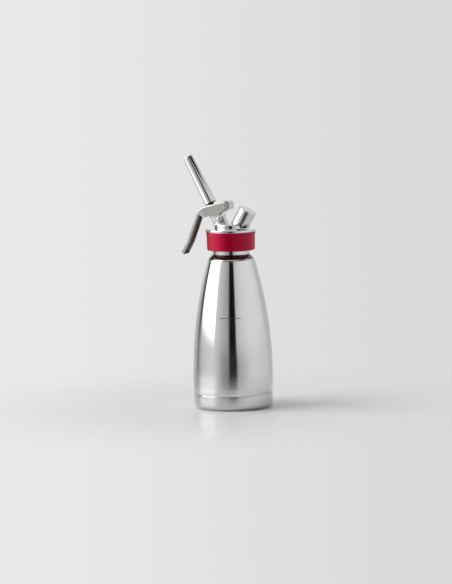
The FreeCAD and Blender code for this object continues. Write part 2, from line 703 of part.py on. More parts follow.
# Horn: stands between tower and charger boss, hollowed at its back, and carries the lever's pin.
horn_block = new_body("horn_block")
pad(horn_block, "horn_pad", draw_outline(horn_block, "horn_outline", [
    ("pin_x - knob_radius", "pin_z", "left", "knob_radius"),
    ("valve_foot_x - tower_top * sin(valve_tilt) + 8 * cos(valve_tilt)",
     "rim_top + tower_top * cos(valve_tilt) + 8 * sin(valve_tilt)"),
    ("valve_foot_x - 8", "dome_top + 8"),
    ("valve_foot_x - 4", "dome_top - 5"),
    ("scallop_x", "dome_top - 5"),
    ("scallop_x", "scallop_z + scallop_radius"),
    ("pin_x + horn_nose - 1.2", "pin_z - horn_nose_drop"),
    ("pin_x + horn_nose", "pin_z - horn_nose_drop + 1.2", "left", "1.2"),
    ("pin_x + knob_radius", "pin_z"),
    ("pin_x", "pin_z + knob_radius", "left", "knob_radius"),
]), "2 * horn_half")
pedestal = new_body("pedestal")
pad(pedestal, "pedestal_pad", draw_outline(pedestal, "pedestal_outline", [
    ("scallop_x", "dome_top - 5"),
    ("scallop_x", "dome_top + 2"),
    ("scallop_x - scallop_radius + 0.4", "scallop_z + 1.9"),
    ("valve_foot_x - 6", "scallop_z - 1.2"),
    ("valve_foot_x - 5", "dome_top - 5"),
]), "2 * pedestal_half")


def on_pedestal_side(edge):
    """True for the foot's long side edges, but not for those at its buried end and under the hollow."""
    middle = edge.CenterOfMass
    side = abs(abs(middle.y) - value("pedestal_half")) < 0.01
    return side and middle.x < value("scallop_x") - 0.1 and middle.z > value("dome_top") - 4


round_edges(pedestal, "pedestal_rounding", "pedestal_round", on_pedestal_side)
scallop = cross_cylinder("scallop", "scallop_x", "scallop_z", "scallop_radius", "pedestal_half + 2")
horn = cut("Horn", fuse("HornBlock", [horn_block, pedestal]), scallop)

boss = turned("charger_boss", [
    ("0", "-boss_depth"),
    ("cap_radius", "-boss_depth"),
    ("cap_radius", "-0.3"),
    ("cap_radius - 0.3", "0"),
    ("0", "0"),
], CHARGER_FRAME)

head_solid = fuse("HeadSolid", [head_blank, tower, horn, boss])


def on_dome(edge):
    """True where the boss, the sides of the horn's foot and the tower leave the dome."""
    box = edge.BoundBox
    top = value("dome_top")
    level = abs(box.ZMin - top) < 0.01 and abs(box.ZMax - top) < 0.01
    boss_foot = level and edge.Curve.TypeId == "Part::GeomEllipse" and box.XMax > value("cap_radius")
    foot_side = level and box.YLength < 0.01 and abs(abs(box.YMin) - value("pedestal_half")) < 0.01
    upright = value("rim_top") < box.ZMin and 1 < box.ZLength < top - box.ZMin
    tower_foot = upright and box.XMin < 0.2 - value("dome_radius")
    return boss_foot or foot_side or tower_foot


head_smooth = doc.addObject("PartDesign::Body", "HeadSmooth")
head_smooth.BaseFeature = head_solid
round_edges(head_smooth, "foot_rounding", "foot_blend", on_dome)

# Bores of the head: the valve's chamber, throat and spring bore; the gas passage; the pin's hole.
valve_bore = turned("valve_bore", [
    ("0", "-14"),
    ("chamber_radius", "-14"),
    ("chamber_radius", "seat_station"),
    ("throat_radius", "seat_station"),
    ("throat_radius", "throat_top"),
    ("spring_bore", "throat_top"),
    ("spring_bore", "collar_top + 2"),
    ("0", "collar_top + 2"),
], VALVE_FRAME)
gas_bore = turned("gas_bore", [
    ("0", "-2.4 * check_depth"),
    ("check_bore", "-2.4 * check_depth"),
    ("check_bore", "-check_depth"),
    ("piercer_shank", "-check_depth"),
    ("piercer_shank", "-spigot_length"),
    ("spigot_radius", "-spigot_length"),
    ("spigot_radius", "1"),
    ("0", "1"),
], CHARGER_FRAME)
pin_hole = cross_cylinder("pin_hole", "pin_x", "pin_z", "pin_radius", "horn_half + 1")
keep(cut("HeadCasting", head_smooth, fuse("HeadBores", [valve_bore, gas_bore, pin_hole])), "head_casting")

# Silicone band: stretched over the skirt, up against the rim plate.
keep(turned("grip_band", [
    ("skirt_radius", "band_bottom"),
    ("band_low_radius - band_round", "band_bottom"),
    ("band_low_radius", "band_bottom + band_round", "left", "band_round"),
    ("band_mid_radius", "rim_bottom - band_lip_height"),
    ("rim_radius", "rim_bottom - 0.6"),
    ("rim_radius", "rim_bottom"),
    ("skirt_radius", "rim_bottom"),
]))

# Lever pin: pressed through the horn, with a riveted head outside each cheek.
pin_half = "lever_half + 0.1"
lever_pin = new_body("lever_pin", PIN_FRAME)
pin_circle = draw_circle(lever_pin, "pin_circle", "0", "0", "pin_radius")
pad(lever_pin, "pin_shank", pin_circle, "2 * (%s)" % pin_half)
for side, sign in (("near", "-"), ("far", "")):
    head_sketch = draw_circle(lever_pin, "pin_head_" + side, "0", "0", "pin_head_radius")
    head_sketch.AttachmentOffset = FreeCAD.Placement(FreeCAD.Vector(0, 0, 1), FreeCAD.Rotation())
    middle = "%s(%s + pin_head_thick / 2)" % (sign, pin_half)
    bind(head_sketch, "AttachmentOffset.Base.z", middle)
    pad(lever_pin, "pin_rivet_" + side, head_sketch, "pin_head_thick")
keep(lever_pin)

# ---- Valve ----

# Valve stem: disc below the seat, waist with cross ports, piston with a ring groove, and a threaded stud.
disc_top = "(seat_station - seat_gap - seal_thick)"
ring_middle = "(piston_low + piston_length / 2)"
piston_radius = "throat_radius - slide_play"
groove_floor = "(throat_radius - slide_play - 2 * oring_tube)"
valve_stem = keep(turned("valve_stem", [
    ("0", disc_top + " - stem_disc_thick"),
    ("stem_disc - 0.6", disc_top + " - stem_disc_thick"),
    ("stem_disc", disc_top + " - stem_disc_thick + 0.6"),
    ("stem_disc", disc_top),
    ("stem_waist", disc_top),
    ("stem_waist", "piston_low"),
    (piston_radius, "piston_low"),
    (piston_radius, ring_middle + " - oring_groove / 2"),
    (groove_floor, ring_middle + " - oring_groove / 2"),
    (groove_floor, ring_middle + " + oring_groove / 2"),
    (piston_radius, ring_middle + " + oring_groove / 2"),
    (piston_radius, "piston_low + piston_length"),
    ("stem_shank", "piston_low + piston_length"),
    ("stem_shank", "collar_bottom"),
    ("stem_stud", "collar_bottom"),
    ("stem_stud", "collar_top"),
    ("clip_groove", "collar_top"),
    ("clip_groove", "collar_top + clip_thick + 2 * clip_play"),
    ("stem_stud", "collar_top + clip_thick + 2 * clip_play"),
    ("stem_stud", "stud_thread_low - 0.6"),
    ("stud_root", "stud_thread_low - 0.1"),
    ("stud_root", "stem_top"),
    ("stem_bore", "stem_top"),
    ("stem_bore", "stem_bore_low"),
    ("0", "stem_bore_low"),
], VALVE_FRAME))
port_sketch = draw_circle(valve_stem, "port_circle", "0", "port_station", "port_radius")
pocket(valve_stem, "cross_ports", port_sketch, "4 * stem_waist")
thread(valve_stem, "stud_thread", "stud_root", "stem_stud - stud_root", "stud_thread_base",
       "stud_thread_low", "nozzle_pitch", "stud_thread_rise")

keep(ring("valve_seal", "stem_waist", "stem_disc", disc_top, "seat_station - seat_gap", VALVE_FRAME))
stem_ring = keep(new_body("stem_ring", VALVE_FRAME))
turn_on_axis(stem_ring, "StemRingTurn", draw_circle(
    stem_ring, "stem_ring_section", "throat_radius - slide_play - oring_tube", ring_middle, "oring_tube"))

# Spring collar: seats on the stem's shoulder; the lever's pads press its flange.
keep(turned("spring_collar", [
    ("stem_stud", "collar_bottom"),
    ("spring_bore - slide_play", "collar_bottom"),
    ("spring_bore - slide_play", "collar_top - collar_flange"),
    ("collar_radius", "collar_top - collar_flange"),
    ("collar_radius", "collar_top"),
    ("stem_stud", "collar_top"),
], VALVE_FRAME))

# Collar clip: an open spring ring in the stem's groove, over the collar.
collar_clip = keep(ring("collar_clip", "clip_groove", "clip_radius", "collar_top + clip_play",
                        "collar_top + clip_play + clip_thick", VALVE_FRAME))
pocket(collar_clip, "clip_mouth", draw_outline(collar_clip, "clip_mouth_outline", [
    ("0", "collar_top - 1"),
    ("2 * clip_radius", "collar_top - 1"),
    ("2 * clip_radius", "collar_top + 2"),
    ("0", "collar_top + 2"),
]), "1.2 * clip_groove")

valve_spring = keep(new_body("valve_spring", VALVE_FRAME))
wind(valve_spring, "valve_spring_coil", draw_circle(
    valve_spring, "valve_spring_wire", "spring_radius", "throat_top + spring_wire", "spring_wire"),
    "spring_pitch", "collar_bottom - throat_top - 2 * spring_wire")

# ---- Nozzle ----

keep(ring("nozzle_seal", "nozzle_seal_bore", "stem_stud", "stem_top", "nozzle_shoulder", VALVE_FRAME))

# Nozzle: a long tapered tube with a threaded lower end, open at its tip.
stud_bore = "stem_stud + stud_relief"
keep(turned("nozzle", [
    ("nozzle_low_radius - nozzle_wall", "nozzle_low"),
    ("nozzle_low_radius - nozzle_edge", "nozzle_low"),
    ("nozzle_low_radius", "nozzle_low + nozzle_edge"),
    ("nozzle_tip_radius", "nozzle_tip - nozzle_edge"),
    ("nozzle_tip_radius - nozzle_edge", "nozzle_tip"),
    ("nozzle_tip_radius - nozzle_wall", "nozzle_tip"),
    ("nozzle_low_radius - 1.4 * nozzle_wall", "nozzle_shoulder + nozzle_throat + nozzle_cone"),
    ("nozzle_throat_radius", "nozzle_shoulder + nozzle_throat"),
    ("nozzle_throat_radius", "nozzle_shoulder"),
    (stud_bore, "nozzle_shoulder"),
    (stud_bore, "nozzle_low + nozzle_recess"),
    ("nozzle_low_radius - nozzle_wall", "nozzle_low + nozzle_recess"),
], VALVE_FRAME))

# ---- Lever ----

# Lever: one folded steel sheet, a channel that is open towards the bottle. Measured from its pin.
lever = keep(new_body("lever", PIN_FRAME))
bend_half = "((90 - web_tilt - grip_lean) / 2)"
knee_half = "((tail_lean - grip_lean) / 2)"
knee_middle = "((tail_lean + grip_lean) / 2)"


def on_web(back, inset="0"):
    """A point on the lever's top, back from the pin, and sunk by inset."""
    return ("-(lever_end - (%s)) * sin(web_tilt) - (%s) * cos(web_tilt)" % (inset, back),
            "(lever_end - (%s)) * cos(web_tilt) - (%s) * sin(web_tilt)" % (inset, back))


def on_grip(down, inset="0"):
    """A point on the grip's upper part, down from the bend's corner, and sunk by inset."""
    return ("bend_x - (%s) * sin(grip_lean) + (%s) * cos(grip_lean)" % (down, inset),
            "bend_z - (%s) * cos(grip_lean) - (%s) * sin(grip_lean)" % (down, inset))


def on_tail(down, inset="0"):
    """A point on the grip's lower part, down from the knee's corner, and sunk by inset."""
    return ("knee_x - (%s) * sin(tail_lean) + (%s) * cos(tail_lean)" % (down, inset),
            "knee_z - (%s) * cos(tail_lean) - (%s) * sin(tail_lean)" % (down, inset))


def at_knee(inset):
    """The knee's corner, sunk by inset."""
    return ("knee_x + (%s) * cos%s / cos%s" % (inset, knee_middle, knee_half),
            "knee_z - (%s) * sin%s / cos%s" % (inset, knee_middle, knee_half))


chin_x = "(lever_end * sin(chin_lean) - chin_length * cos(chin_lean))"
chin_z = "(-lever_end * cos(chin_lean) - chin_length * sin(chin_lean))"
bend_run = "bend_radius * tan%s" % bend_half
knee_run = "knee_radius * tan%s" % knee_half
side_outline = [
    on_web("0") + ("left", "lever_end"),
    on_web("web_length - %s" % bend_run),
    on_grip(bend_run) + ("left", "bend_radius"),
    on_grip("grip_length - %s" % knee_run),
    on_tail(knee_run) + ("right", "knee_radius"),
    on_tail("tail_length - tail_round"),
    on_tail("tail_length", "tail_round") + ("left", "tail_round"),
    on_tail("tail_length", "tail_depth"),
    at_knee("knee_depth"),
    on_grip("notch_reach", "grip_depth"),
    ("-lobe_back - lobe_round", "-lobe_drop + 0.4 * lobe_round"),
    ("-lobe_back + lobe_round", "-lobe_drop + 0.2 * lobe_round", "left", "1.6 * lobe_round"),
    (chin_x, chin_z),
    ("lever_end * sin(chin_lean)", "-lever_end * cos(chin_lean)"),
    ("lever_end * cos(chin_lean)", "lever_end * sin(chin_lean)", "left", "lever_end"),
]
pad(lever, "lever_blank", draw_outline(lever, "lever_side", side_outline), "2 * lever_half")


def on_lever_back(edge):
    """True for the side edges of the web, bend and grip: along the lever, and on its outer back."""
    box = edge.BoundBox
    flat = abs(box.YMin - box.YMax) < 0.01 and abs(abs(box.YMin) - value("lever_half")) < 0.01
    middle = edge.valueAt((edge.FirstParameter + edge.LastParameter) / 2)
    down = max(0.0, value("bend_z") - middle.z)
    back = value("bend_x") - down * math.tan(math.radians(value("grip_lean")))
    web = middle.z > value("bend_z") - 1 + (middle.x - value("bend_x")) * math.tan(
        math.radians(value("web_tilt"))) - 2
    return flat and (web or middle.x < back + 2) and middle.x < -value("lever_end")


round_edges(lever, "lever_folds", "lever_fold", on_lever_back)
pocket(lever, "lever_channel", draw_outline(lever, "channel_side", [
    on_web("-2 * lever_end", "lever_wall"),
    on_web("web_length - %s" % bend_run, "lever_wall"),
    on_grip(bend_run, "lever_wall") + ("left", "bend_radius - lever_wall"),
    on_grip("grip_length - %s" % knee_run, "lever_wall"),
    on_tail(knee_run, "lever_wall") + ("right", "knee_radius + lever_wall"),
    on_tail("tail_length - tail_round", "lever_wall"),
    on_tail("tail_length - lever_wall", "tail_round") + ("left", "tail_round - lever_wall"),
    on_tail("tail_length - lever_wall", "2 * tail_depth"),
    at_knee("3 * knee_depth"),
    ("-lobe_back", "-1.4 * lobe_drop"),
    ("2 * lever_end", "-1.4 * lobe_drop"),
]), "2 * cheek_half")
knob_circle = draw_circle(lever, "knob_circle", "0", "0", "knob_radius + knob_play")
pocket(lever, "knob_room", knob_circle, "2 * cheek_half")
pad(lever, "press_pads", draw_circle(
    lever, "pad_circle",
    "-pin_arm * cos(valve_tilt) - (pad_station - pin_station) * sin(valve_tilt)",
    "-pin_arm * sin(valve_tilt) + (pad_station - pin_station) * cos(valve_tilt)",
    "pad_radius"), "cheek_half + lever_half")
slot_sketch = draw_outline(lever, "stem_slot_outline", [
    ("-slot_middle - slot_back + slot_half", "-slot_half", "left", "slot_half"),
    ("-slot_middle + slot_front - slot_half", "-slot_half"),
    ("-slot_middle + slot_front", "0", "left", "slot_half"),
    ("-slot_middle + slot_front - slot_half", "slot_half", "left", "slot_half"),
    ("-slot_middle - slot_back + slot_half", "slot_half"),
    ("-slot_middle - slot_back", "0", "left", "slot_half"),
], "XY_Plane")
slot_sketch.AttachmentOffset = FreeCAD.Placement(
    FreeCAD.Vector(0, 0, 0), FreeCAD.Rotation(FreeCAD.Vector(0, -1, 0), value("web_tilt")))
bind(slot_sketch, "AttachmentOffset.Rotation.Angle", "web_tilt")
pocket(lever, "stem_slot", slot_sketch, "2 * lever_end + 2")
pin_hole_circle = draw_circle(lever, "pin_hole_circle", "0", "0", "pin_radius + pin_play")
pocket(lever, "pin_holes", pin_hole_circle, "3 * lever_half")

# ---- Charger neck ----

# Nipple: screwed into the boss; the charger's neck goes into its socket, the cap on its thread.
charger_nipple = keep(turned("charger_nipple", [
    ("piercer_shank", "-spigot_length"),
    ("spigot_radius", "-spigot_length"),
    ("spigot_radius", "0"),
    ("nipple_root", "0"),
    ("nipple_root", "nipple_height - 0.8"),
    ("nipple_root - 0.8", "nipple_height"),
    ("nipple_bore + 0.6", "nipple_height"),
    ("nipple_bore", "nipple_height - 0.6"),
    ("nipple_bore", "nipple_floor"),
    ("piercer_shank", "nipple_floor"),
], CHARGER_FRAME))
thread(charger_nipple, "nipple_thread", "nipple_root", "nipple_thread_tall", "nipple_thread_base",
       "nipple_thread_low", "cap_pitch", "nipple_thread_rise")

# Piercing pin: a hollow needle with a slanted end, pressed into the nipple's floor.
needle_top = "(nipple_floor + piercer_reach)"
slant_drop = "(2 * piercer_needle / tan(piercer_slant))"
piercing_pin = keep(turned("piercing_pin", [
    ("piercer_bore", "nipple_floor - piercer_sunk"),
    ("piercer_shank", "nipple_floor - piercer_sunk"),
    ("piercer_shank", "nipple_floor"),
    ("piercer_needle", "nipple_floor"),
    ("piercer_needle", needle_top),
    ("piercer_bore", needle_top),
], CHARGER_FRAME))
pocket(piercing_pin, "needle_slant", draw_outline(piercing_pin, "needle_slant_outline", [
    ("-3 * piercer_needle", needle_top + " + " + slant_drop),
    ("3 * piercer_needle", needle_top + " - 2 * " + slant_drop),
    ("3 * piercer_needle", needle_top + " + " + slant_drop),
]), "4 * piercer_needle")
keep(ring("charger_seal", "piercer_needle + 0.05", "nipple_bore - 0.05", "nipple_floor",
          "nipple_floor + charger_seal_thick", CHARGER_FRAME))

# Protective cap with its liner.
keep(turned("cap_liner", [
    ("0", "liner_low"),
    ("cap_bore - cap_liner_play", "liner_low"),
    ("cap_bore - cap_liner_play", "liner_top"),
    ("0", "liner_top"),
], CHARGER_FRAME))
keep(turned("charger_cap", [
    ("cap_bore", "cap_seat_gap"),
    ("cap_radius - 0.3", "cap_seat_gap"),
    ("cap_radius", "cap_seat_gap + 0.3"),
    ("cap_radius", "cap_length - cap_round"),
    ("cap_radius - cap_round", "cap_length", "left", "cap_round"),
    ("0", "cap_length"),
    ("0", "liner_top"),
    ("cap_bore", "liner_top"),
], CHARGER_FRAME))

# Check valve: gas pushes the disc off its seat into the bottle; the spring closes it again.
keep(turned("check_disc", [
    ("0", "check_seat - check_disc_thick"),
    ("check_disc", "check_seat - check_disc_thick"),
    ("check_disc", "check_seat"),
    ("0", "check_seat"),
], CHARGER_FRAME))
check_spring = keep(new_body("check_spring", CHARGER_FRAME))
wind(check_spring, "check_spring_coil", draw_circle(
    check_spring, "check_spring_wire_section", "check_spring_radius", "cage_top + check_spring_wire",
    "check_spring_wire"), "check_spring_pitch", "check_spring_length - 2 * check_spring_wire")
keep(ring("check_cage", "cage_hole", "check_bore", "cage_top - cage_thick", "cage_top", CHARGER_FRAME))

# ---- Tests and files ----

doc.recompute()
for thing in doc.Objects:
    if "Invalid" in thing.State or "Error" in thing.State:
        raise RuntimeError("%s failed: %s" % (thing.Label, thing.State))
for thing in pieces:
    if thing.Shape.isNull() or not thing.Shape.isValid():
        raise RuntimeError("%s has no valid shape" % thing.Label)

os.makedirs("parts", exist_ok=True)
for thing in pieces:
    thing.Shape.exportStep("parts/%s.step" % thing.Label)
    print(thing.Label, len(thing.Shape.Solids), round(thing.Shape.Volume, 1))
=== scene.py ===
import math

import bmesh
import bpy
from mathutils import Matrix, Vector


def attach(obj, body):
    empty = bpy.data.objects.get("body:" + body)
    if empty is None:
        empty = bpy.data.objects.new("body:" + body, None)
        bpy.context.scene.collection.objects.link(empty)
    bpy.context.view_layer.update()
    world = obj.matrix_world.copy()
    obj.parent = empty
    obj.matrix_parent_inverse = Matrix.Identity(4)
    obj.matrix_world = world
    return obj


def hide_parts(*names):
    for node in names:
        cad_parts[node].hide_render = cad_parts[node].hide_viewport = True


# Vacuum-walled cream dispenser. The row's frame is in metres; the makers' sizes below are in millimetres.
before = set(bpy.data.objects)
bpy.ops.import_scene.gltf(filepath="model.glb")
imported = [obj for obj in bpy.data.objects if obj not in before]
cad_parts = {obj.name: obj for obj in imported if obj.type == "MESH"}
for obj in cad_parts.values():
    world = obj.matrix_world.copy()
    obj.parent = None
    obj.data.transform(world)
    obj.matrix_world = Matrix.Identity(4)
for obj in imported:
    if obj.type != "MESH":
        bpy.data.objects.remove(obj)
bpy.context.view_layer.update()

# ---- Studio ----
# A pale worktop in even daylight: a tall window on the lever's side, white walls all round, and the dark
# gap where the camera stands. The worktop fades out into that light. The camera is 4.2 metres off.

mm = 0.001
camera_turn = math.radians(25.0)
camera_reach = 4202 * mm
camera_height = 608 * mm
aim_height = 148.0 * mm
aim_left = 7.45 * mm
camera_roll = math.radians(1.05)
camera_lens = 203.1
camera_film = 36
camera_sees = 40
worktop_radius = 500 * mm
fade_start = 30 * mm
fade_end = 420 * mm

worktop_data = bpy.data.meshes.new("worktop")
worktop_mesh = bmesh.new()
bmesh.ops.create_circle(worktop_mesh, cap_ends=True, radius=worktop_radius, segments=96)
worktop_mesh.to_mesh(worktop_data)
worktop_mesh.free()
worktop = bpy.data.objects.new("worktop", worktop_data)
bpy.context.scene.collection.objects.link(worktop)


def new_finish(name):
    """A fresh node material with its shader; the shader's constants are set on its own sockets."""
    finish = bpy.data.materials.new(name)
    finish.use_nodes = True
    shader = finish.node_tree.nodes["Principled BSDF"]
    return finish, finish.node_tree, shader


def grain(tree, scale, stretch=(1, 1, 1), detail=3.0, turn=0.0):
    """Noise that lies in the piece's own metres; stretch draws it out along one way, such as a brushing."""
    place = tree.nodes.new("ShaderNodeTexCoord")
    lay = tree.nodes.new("ShaderNodeMapping")
    lay.inputs["Scale"].default_value = stretch
    lay.inputs["Rotation"].default_value = (0, turn, 0)
    noise = tree.nodes.new("ShaderNodeTexNoise")
    noise.inputs["Scale"].default_value = scale
    noise.inputs["Detail"].default_value = detail
    tree.links.new(place.outputs["Object"], lay.inputs["Vector"])
    tree.links.new(lay.outputs["Vector"], noise.inputs["Vector"])
    return noise.outputs["Fac"]


def spread(tree, source, low, high):
    """Spread a noise between two values; most of a noise lies between 0.3 and 0.7."""
    span = tree.nodes.new("ShaderNodeMapRange")
    span.inputs["From Min"].default_value = 0.3
    span.inputs["From Max"].default_value = 0.7
    span.inputs["To Min"].default_value = low
    span.inputs["To Max"].default_value = high
    tree.links.new(source, span.inputs["Value"])
    return span.outputs["Result"]


def blend_tone(tree, source, one, other):
    """Mix two tones by a noise."""
    mix = tree.nodes.new("ShaderNodeMix")
    mix.data_type = "RGBA"
    mix.inputs["A"].default_value = (*one, 1)
    mix.inputs["B"].default_value = (*other, 1)
    tree.links.new(source, mix.inputs["Factor"])
    return mix.outputs["Result"]


def relief(tree, shader, source, depth, strength=1.0, under=None):
    """Raise the surface by a noise; depth is in millimetres."""
    bump = tree.nodes.new("ShaderNodeBump")
    bump.inputs["Strength"].default_value = strength
    bump.inputs["Distance"].default_value = depth * mm
    tree.links.new(source, bump.inputs["Height"])
    if under:
        tree.links.new(under, bump.inputs["Normal"])
    tree.links.new(bump.outputs["Normal"], shader.inputs["Normal"])
    return bump.outputs["Normal"]


worktop_finish, tree, shader = new_finish("pale_worktop")
tree.links.new(blend_tone(tree, grain(tree, 2.4, detail=6.0), (0.69, 0.69, 0.695), (0.73, 0.73, 0.735)),
               shader.inputs["Base Color"])
tree.links.new(spread(tree, grain(tree, 9.0), 0.30, 0.36), shader.inputs["Roughness"])
shader.inputs["Specular IOR Level"].default_value = 0.04
worktop_place = tree.nodes.new("ShaderNodeTexCoord")
worktop_reach = tree.nodes.new("ShaderNodeVectorMath")
worktop_reach.operation = "LENGTH"
tree.links.new(worktop_place.outputs["Object"], worktop_reach.inputs[0])
worktop_fade = tree.nodes.new("ShaderNodeMapRange")
worktop_fade.interpolation_type = "SMOOTHSTEP"
worktop_fade.inputs["From Min"].default_value = fade_start
worktop_fade.inputs["From Max"].default_value = fade_end
tree.links.new(worktop_reach.outputs["Value"], worktop_fade.inputs["Value"])
clear = tree.nodes.new("ShaderNodeBsdfTransparent")
worktop_mix = tree.nodes.new("ShaderNodeMixShader")
tree.links.new(worktop_fade.outputs["Result"], worktop_mix.inputs["Fac"])
tree.links.new(shader.outputs["BSDF"], worktop_mix.inputs[1])
tree.links.new(clear.outputs["BSDF"], worktop_mix.inputs[2])
tree.links.new(worktop_mix.outputs["Shader"], tree.nodes["Material Output"].inputs["Surface"])
worktop_data.materials.append(worktop_finish)


def tone_ramp(tree, source, stops, span):
    """Tones along one measure: each stop is (place, brightness); span is the measure's (least, most)."""
    ramp = tree.nodes.new("ShaderNodeValToRGB")
    least, most = span
    rows = ramp.color_ramp.elements
    while len(rows) < len(stops):
        rows.new(0.5)
    for row, (place, bright) in zip(rows, stops):
        row.position = (place - least) / (most - least)
        row.color = (bright, bright, bright, 1)
    tree.links.new(source, ramp.inputs["Fac"])
    return ramp.outputs["Color"]


def measured(tree, source, least, most):
    """Where a value lies between two others, from 0 to 1."""
    share = tree.nodes.new("ShaderNodeMapRange")
    share.inputs["From Min"].default_value = least
    share.inputs["From Max"].default_value = most
    tree.links.new(source, share.inputs["Value"])
    return share.outputs["Result"]


def laid_over(tree, share, under, over):
    """Lay one light over another by a share; each is a colour output or a plain brightness."""
    mix = tree.nodes.new("ShaderNodeMix")
    mix.data_type = "RGBA"
    tree.links.new(share, mix.inputs["Factor"])
    for socket, light in (("A", under), ("B", over)):
        if isinstance(light, float):
            mix.inputs[socket].default_value = (light, light, light, 1)
        else:
            tree.links.new(light, mix.inputs[socket])
    return mix.outputs["Result"]


# Daylight, by its bearing round the bottle in degrees from the camera's own bearing, and by its height: the
# height is -1 straight down, 0 level and 1 straight up.
full_round = (-180, 180)
window_strength = 3.4
open_sky = 0.80
daylight = bpy.data.worlds.new("daylight")
bpy.context.scene.world = daylight
daylight.use_nodes = True
sky = daylight.node_tree
sky.nodes.clear()
way = sky.nodes.new("ShaderNodeTexCoord")
turned_way = sky.nodes.new("ShaderNodeVectorRotate")
turned_way.rotation_type = "Z_AXIS"
turned_way.inputs["Angle"].default_value = -camera_turn
sky.links.new(way.outputs["Generated"], turned_way.inputs["Vector"])
parts_of_way = sky.nodes.new("ShaderNodeSeparateXYZ")
sky.links.new(turned_way.outputs["Vector"], parts_of_way.inputs["Vector"])
sideways, lengthways, height = (parts_of_way.outputs[part] for part in "XYZ")
bearing = sky.nodes.new("ShaderNodeMath")
bearing.operation = "ARCTAN2"
flip = sky.nodes.new("ShaderNodeMath")
flip.operation = "MULTIPLY"
flip.inputs[1].default_value = -1
sky.links.new(lengthways, flip.inputs[0])
sky.links.new(sideways, bearing.inputs[0])
sky.links.new(flip.outputs["Value"], bearing.inputs[1])
round_share = measured(sky, bearing.outputs["Value"], -math.pi, math.pi)
wall_tones = tone_ramp(sky, round_share, [
    (-180, 0.80), (-165, 0.76), (-150, 0.69), (-141, 0.60), (-134, 0.40), (-127, 0.15), (-120, 0.07), (-115, 0.09),
    (-112, 0.75), (-60, 0.78), (-50, 0.73), (-40, 0.63), (-30, 0.53), (-20, 0.45), (-14, 0.37), (-11.5, 0.22),
    (-8.5, 0.008), (8.5, 0.008), (11, 0.50), (14, 0.62), (20, 0.68), (30, 0.76), (50, 0.84), (80, 0.87),
    (110, 0.79), (126, 0.58), (145, 0.58), (165, 0.80)], full_round)
counter_tones = tone_ramp(sky, round_share, [
    (-180, 0.75), (-165, 0.66), (-148, 0.56), (-136, 0.50), (-128, 0.33), (-123, 0.20), (-118, 0.38), (-110, 0.53),
    (-100, 0.65), (-88, 0.73), (-66, 0.79), (-56, 0.74), (-50, 0.66), (-40, 0.52), (-30, 0.36), (-18, 0.29),
    (-13, 0.22), (-9, 0.03), (9, 0.025), (12, 0.22), (16, 0.45), (30, 0.53), (40, 0.63), (50, 0.73),
    (70, 0.77), (90, 0.72), (110, 0.70), (122, 0.68), (130, 0.58), (150, 0.56), (165, 0.64)], full_round)
floor_tones = tone_ramp(sky, round_share, [
    (-180, 0.45), (-158, 0.18), (-140, 0.15), (-130, 0.45), (-120, 1.15), (-106, 1.70), (-64, 1.70), (-54, 1.30),
    (-46, 0.75), (-40, 0.50), (-30, 0.25), (-21, 0.06), (-11, 0.06), (-3, 0.10), (5, 0.16), (10, 0.50),
    (29, 0.58), (74, 0.62), (129, 0.58), (156, 0.72)], full_round)
upper_tones = tone_ramp(sky, round_share, [
    (-180, 0.86), (-158, 0.60), (-146, 0.20), (-122, 0.12), (-112, 0.70), (-60, 0.75), (-45, 0.58), (-30, 0.45),
    (-18, 0.28), (-12, 0.05), (-3, 0.05), (6, 0.30), (14, 0.52), (30, 0.60), (50, 0.68), (80, 0.77), (105, 0.64),
    (129, 0.50), (153, 0.62)], full_round)
canopy_tones = tone_ramp(sky, round_share, [
    (-180, 0.80), (-112, 0.80), (-66, 0.78), (-54, 0.03), (96, 0.03), (112, 0.72), (180, 0.80)], full_round)
window_sides = tone_ramp(sky, round_share, [
    (-116, 0.0), (-109, 1.0), (-60, 1.0), (-55, 0.0)], full_round)
window_rise = tone_ramp(sky, height, [
    (0.0, 0.0), (0.02, 0.08), (0.04, 0.17), (0.07, 0.36), (0.14, 1.0), (0.80, 1.0), (0.88, 0.0)], (0, 1))
window_shape = sky.nodes.new("ShaderNodeVectorMath")
window_shape.operation = "MULTIPLY"
sky.links.new(window_sides, window_shape.inputs[0])
sky.links.new(window_rise, window_shape.inputs[1])
window_glow = sky.nodes.new("ShaderNodeVectorMath")
window_glow.operation = "SCALE"
window_glow.inputs["Scale"].default_value = window_strength
sky.links.new(window_shape.outputs["Vector"], window_glow.inputs[0])

# From the floor up, each band of the room takes over from the one under it between two heights.
room = floor_tones
for fades_in, takes_over, band_of_room in (
        (-0.20, -0.118, counter_tones), (-0.05, 0.06, wall_tones), (0.46, 0.56, upper_tones),
        (0.57, 0.62, canopy_tones), (0.85, 0.91, open_sky)):
    room = laid_over(sky, measured(sky, height, fades_in, takes_over), room, band_of_room)
all_light = sky.nodes.new("ShaderNodeVectorMath")
all_light.operation = "ADD"
sky.links.new(room, all_light.inputs[0])
sky.links.new(window_glow.outputs["Vector"], all_light.inputs[1])

